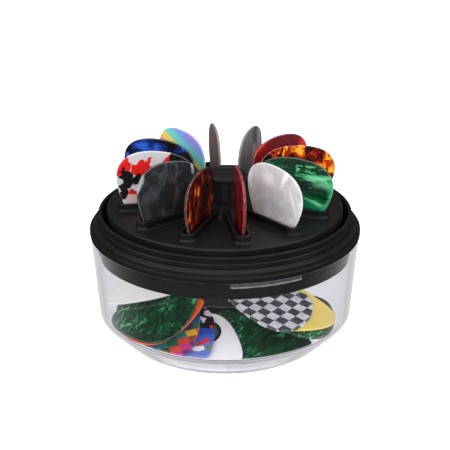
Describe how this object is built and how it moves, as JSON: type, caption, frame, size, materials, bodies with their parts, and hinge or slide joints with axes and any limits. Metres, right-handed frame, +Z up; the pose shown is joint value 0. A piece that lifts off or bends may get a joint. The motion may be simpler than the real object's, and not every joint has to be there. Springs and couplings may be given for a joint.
{
  "type": "pick holder",
  "caption": "Round countertop guitar pick holder: clear tub for loose picks under a black twist-off lid, with a turning carousel that stands picks upright in slots.",
  "frame": {"origin": "centre of the foot's underside, where the tub stands on a table", "axes": "+Z up along the pivot axis, -Y towards the viewer's side, +X to the viewer's right"},
  "size_m": [0.0902, 0.0902, 0.065],
  "materials": {
    "clear_plastic": "clear moulded styrene, polished",
    "black_plastic": "black moulded plastic, fine satin texture",
    "nylon": "natural nylon",
    "steel": "zinc plated",
    "red_pearl": "polished red pearloid",
    "white_pearl": "polished white pearloid",
    "green_pearl": "polished green pearloid",
    "fire_shell": "polished amber and black shell",
    "ruby_pearl": "polished dark red",
    "smoke": "polished smoky grey",
    "dark_shell": "polished dark shell with amber flecks",
    "rainbow": "polished rainbow bands",
    "blue_pearl": "polished blue and black",
    "camo_red": "polished white, red and black patches",
    "black_pearl": "polished dark grey pearloid",
    "red_shell": "polished red brown shell",
    "plain_white": "plain white, semi gloss",
    "plain_orange": "plain orange, semi gloss",
    "plain_black": "plain black, gloss",
    "plain_yellow": "plain yellow, semi gloss",
    "rainbow_check": "printed check in rainbow colours",
    "splash": "printed blue, black and white patches",
    "checker": "printed grey and white check"
  },
  "bodies": {
    "tub": {"tub": "clear_plastic", "loose_pick_sketch_white": "plain_white", "loose_pick_green": "green_pearl", "loose_pick_orange": "plain_orange", "loose_pick_black": "plain_black", "loose_pick_rainbow_check": "rainbow_check", "loose_pick_splash": "splash", "loose_pick_dot_white": "plain_white", "loose_pick_green_front": "green_pearl", "loose_pick_checker": "checker", "loose_pick_yellow": "plain_yellow", "loose_pick_green_side": "green_pearl", "loose_pick_black_back": "plain_black", "loose_pick_green_back": "green_pearl", "loose_pick_red_floor": "red_pearl"},
    "glide_washer": {"glide_washer": "nylon"},
    "lid": {"lid": "black_plastic", "pivot_screw": "steel", "screw_washer": "steel"},
    "carousel": {"carousel": "black_plastic", "hub_cap": "black_plastic"},
    "display_pick_red_pearl": {"display_pick_red_pearl": "red_pearl"},
    "display_pick_white_pearl": {"display_pick_white_pearl": "white_pearl"},
    "display_pick_green_pearl": {"display_pick_green_pearl": "green_pearl"},
    "display_pick_fire_shell": {"display_pick_fire_shell": "fire_shell"},
    "display_pick_ruby": {"display_pick_ruby": "ruby_pearl"},
    "display_pick_smoke": {"display_pick_smoke": "smoke"},
    "display_pick_dark_shell": {"display_pick_dark_shell": "dark_shell"},
    "display_pick_rainbow": {"display_pick_rainbow": "rainbow"},
    "display_pick_blue_pearl": {"display_pick_blue_pearl": "blue_pearl"},
    "display_pick_camo_red": {"display_pick_camo_red": "camo_red"},
    "display_pick_black_pearl": {"display_pick_black_pearl": "black_pearl"},
    "display_pick_red_shell": {"display_pick_red_shell": "red_shell"}
  },
  "joints": [
    {"name": "lid_lift", "type": "slide", "parent": "tub", "child": "glide_washer", "axis": [0, 0, 1], "range_m": [0, 0.06]},
    {"name": "lid_turn", "type": "hinge", "parent": "glide_washer", "child": "lid", "pos_m": [0, 0, 0.0365], "axis": [0, 0, 1], "range_deg": [-27, 0]},
    {"name": "carousel_spin", "type": "hinge", "parent": "lid", "child": "carousel", "pos_m": [0, 0, 0.045], "axis": [0, 0, 1], "continuous": true},
    {"name": "pick_lift_red_pearl", "type": "slide", "parent": "carousel", "child": "display_pick_red_pearl", "axis": [0, 0, 1], "range_m": [0, 0.02]},
    {"name": "pick_lift_white_pearl", "type": "slide", "parent": "carousel", "child": "display_pick_white_pearl", "axis": [0, 0, 1], "range_m": [0, 0.02]},
    {"name": "pick_lift_green_pearl", "type": "slide", "parent": "carousel", "child": "display_pick_green_pearl", "axis": [0, 0, 1], "range_m": [0, 0.02]},
    {"name": "pick_lift_fire_shell", "type": "slide", "parent": "carousel", "child": "display_pick_fire_shell", "axis": [0, 0, 1], "range_m": [0, 0.02]},
    {"name": "pick_lift_ruby", "type": "slide", "parent": "carousel", "child": "display_pick_ruby", "axis": [0, 0, 1], "range_m": [0, 0.02]},
    {"name": "pick_lift_smoke", "type": "slide", "parent": "carousel", "child": "display_pick_smoke", "axis": [0, 0, 1], "range_m": [0, 0.02]},
    {"name": "pick_lift_dark_shell", "type": "slide", "parent": "carousel", "child": "display_pick_dark_shell", "axis": [0, 0, 1], "range_m": [0, 0.02]},
    {"name": "pick_lift_rainbow", "type": "slide", "parent": "carousel", "child": "display_pick_rainbow", "axis": [0, 0, 1], "range_m": [0, 0.02]},
    {"name": "pick_lift_blue_pearl", "type": "slide", "parent": "carousel", "child": "display_pick_blue_pearl", "axis": [0, 0, 1], "range_m": [0, 0.02]},
    {"name": "pick_lift_camo_red", "type": "slide", "parent": "carousel", "child": "display_pick_camo_red", "axis": [0, 0, 1], "range_m": [0, 0.02]},
    {"name": "pick_lift_black_pearl", "type": "slide", "parent": "carousel", "child": "display_pick_black_pearl", "axis": [0, 0, 1], "range_m": [0, 0.02]},
    {"name": "pick_lift_red_shell", "type": "slide", "parent": "carousel", "child": "display_pick_red_shell", "axis": [0, 0, 1], "range_m": [0, 0.02]}
  ]
}
